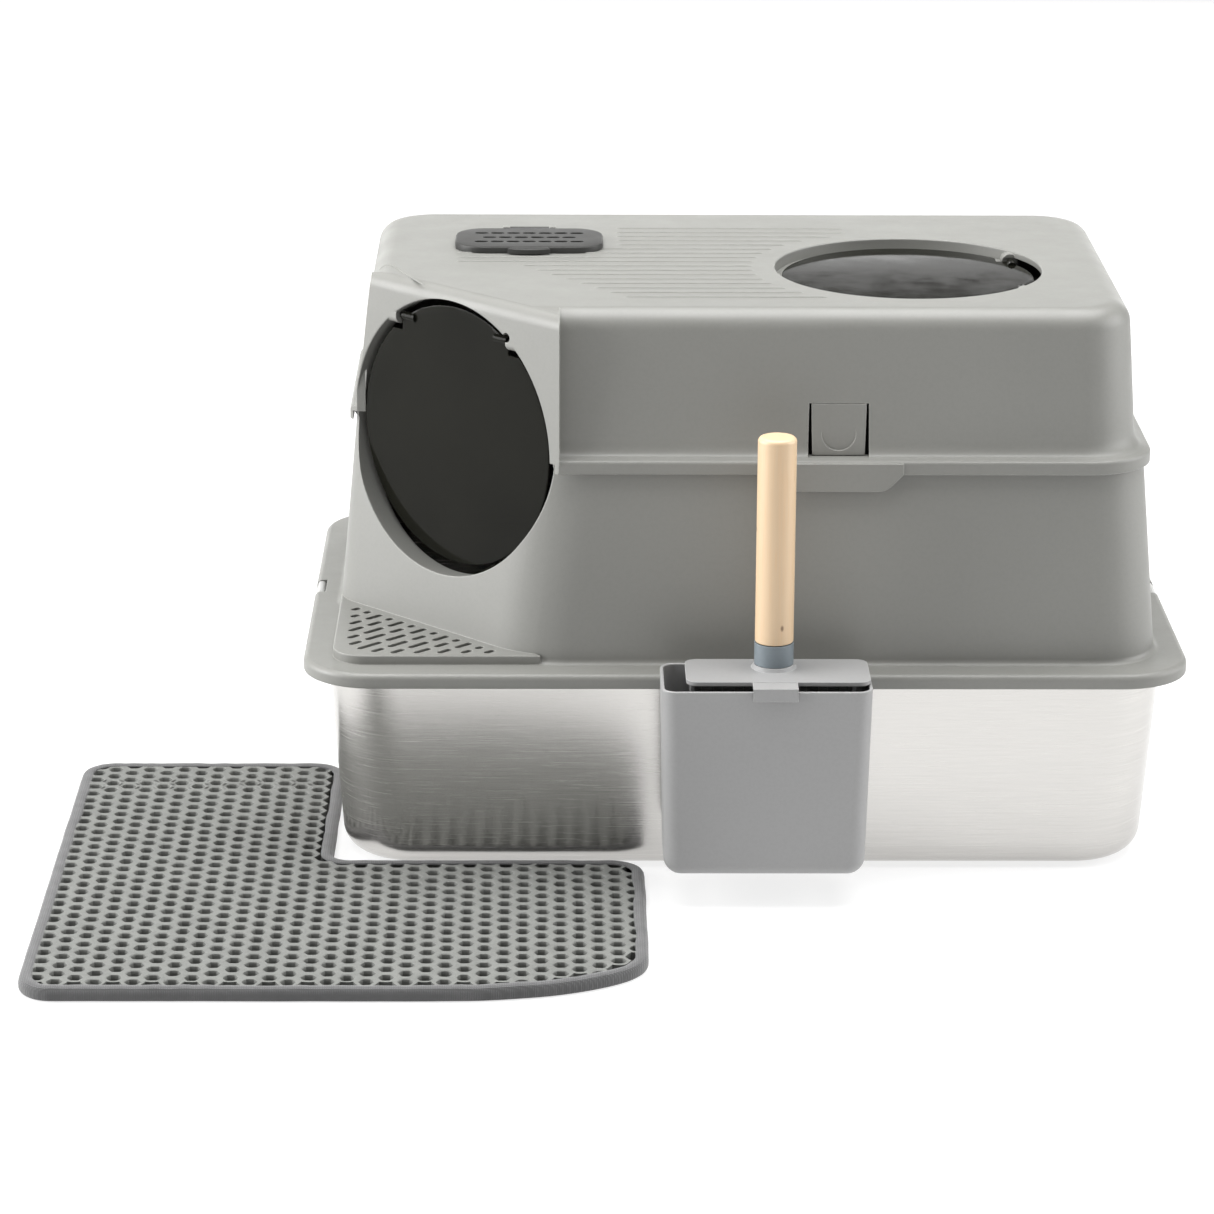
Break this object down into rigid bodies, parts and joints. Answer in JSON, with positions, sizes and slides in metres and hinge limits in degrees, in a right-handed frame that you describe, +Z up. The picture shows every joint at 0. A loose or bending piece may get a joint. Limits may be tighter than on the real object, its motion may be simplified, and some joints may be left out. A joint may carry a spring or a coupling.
{
  "type": "hooded cat litter box",
  "caption": "Enclosed cat litter box: steel pan with a clipped-on plastic enclosure and lift-off hood, round swing doors at the corner and on top, hanging scoop holder and an L-shaped floor mat.",
  "frame": {"origin": "middle of the pan's flat underside, on the floor", "axes": "+X along the pan's long side towards the top exit, +Y towards the back, +Z up; the front with the latch and scoop faces -Y and the entry is at the front left"},
  "size_m": [0.77, 0.613, 0.3898],
  "materials": {
    "pan_steel": "horizontally brushed stainless steel",
    "enclosure_plastic": "warm grey moulded plastic, fine satin texture",
    "clip_plastic": "light grey moulded plastic",
    "pin_steel": "plain steel pin or zinc-plated screw",
    "pin_dark": "dark nylon pivot pin",
    "tinted_plastic": "glossy smoke-tinted clear plastic",
    "charcoal_plastic": "charcoal moulded plastic",
    "carbon_felt": "activated carbon felt pad",
    "holder_plastic": "neutral grey moulded plastic",
    "ferrule_plastic": "blue-grey moulded plastic",
    "beech_wood": "turned beech, clear satin varnish",
    "mat_foam": "grey foam with a honeycomb of open cells",
    "mat_foam_dark": "grey foam backing sheet",
    "mat_fabric": "dark grey woven edge binding"
  },
  "bodies": {
    "base": {"stainless_pan": "pan_steel", "lower_enclosure": "enclosure_plastic", "rim_clip_pin_left": "pin_steel", "rim_clip_pin_right": "pin_steel"},
    "left_clip": {"rim_clip_left": "clip_plastic"},
    "right_clip": {"rim_clip_right": "clip_plastic"},
    "hood_body": {"hood": "enclosure_plastic", "filter_tray": "charcoal_plastic", "carbon_filter": "carbon_felt", "filter_cover_pin": "pin_steel"},
    "front_latch": {"latch_tab_front": "enclosure_plastic"},
    "rear_latch": {"latch_tab_rear": "enclosure_plastic"},
    "entry_door": {"entry_flap": "tinted_plastic", "entry_flap_pin_left": "pin_dark", "entry_flap_pin_right": "pin_dark"},
    "exit_door": {"exit_flap": "tinted_plastic", "exit_flap_pin_left": "pin_dark", "exit_flap_pin_right": "pin_dark"},
    "filter_lid": {"filter_cover": "charcoal_plastic"},
    "holder": {"scoop_holder": "holder_plastic"},
    "scoop": {"scoop_head": "holder_plastic", "handle_ferrule": "ferrule_plastic", "scoop_handle": "beech_wood", "handle_screw": "pin_steel"},
    "floor_mat": {"mat_base": "mat_foam_dark", "mat_top": "mat_foam", "mat_binding": "mat_fabric"}
  },
  "joints": [
    {"name": "hood_lift", "type": "slide", "parent": "base", "child": "hood_body", "axis": [0, 0, 1], "range_m": [0, 0.2]},
    {"name": "entry_door_swing", "type": "hinge", "parent": "hood_body", "child": "entry_door", "pos_m": [-0.19671, -0.09581, 0.3585], "axis": [0.7071, -0.7071, 0], "range_deg": [-60, 60]},
    {"name": "exit_door_lift", "type": "hinge", "parent": "hood_body", "child": "exit_door", "pos_m": [0.1895, -0.027, 0.378], "axis": [0, 1, 0], "range_deg": [0, 75]},
    {"name": "filter_lid_hinge", "type": "hinge", "parent": "hood_body", "child": "filter_lid", "pos_m": [-0.148, 0.0802, 0.3876], "axis": [-1, 0, 0], "range_deg": [0, 100]},
    {"name": "front_latch_press", "type": "hinge", "parent": "hood_body", "child": "front_latch", "pos_m": [0.0595, -0.15886, 0.3219], "axis": [-1, 0, 0], "range_deg": [-4, 0], "stiffness_Nm_per_rad": 0.5},
    {"name": "rear_latch_press", "type": "hinge", "parent": "hood_body", "child": "rear_latch", "pos_m": [0.0595, 0.15886, 0.3219], "axis": [1, 0, 0], "range_deg": [-4, 0], "stiffness_Nm_per_rad": 0.5},
    {"name": "left_clip_swing", "type": "hinge", "parent": "base", "child": "left_clip", "pos_m": [-0.2963, 0.004, 0.1412], "axis": [0, 1, 0], "range_deg": [0, 60]},
    {"name": "right_clip_swing", "type": "hinge", "parent": "base", "child": "right_clip", "pos_m": [0.2963, 0.004, 0.1412], "axis": [0, -1, 0], "range_deg": [0, 60]},
    {"name": "holder_unclip", "type": "slide", "parent": "base", "child": "holder", "axis": [0, -1, 0], "range_m": [0, 0.12]},
    {"name": "scoop_draw", "type": "slide", "parent": "holder", "child": "scoop", "axis": [0, 0, 1], "range_m": [0, 0.2]},
    {"name": "mat_slide", "type": "slide", "parent": "base", "child": "floor_mat", "axis": [0, -1, 0], "range_m": [0, 0.25]}
  ]
}
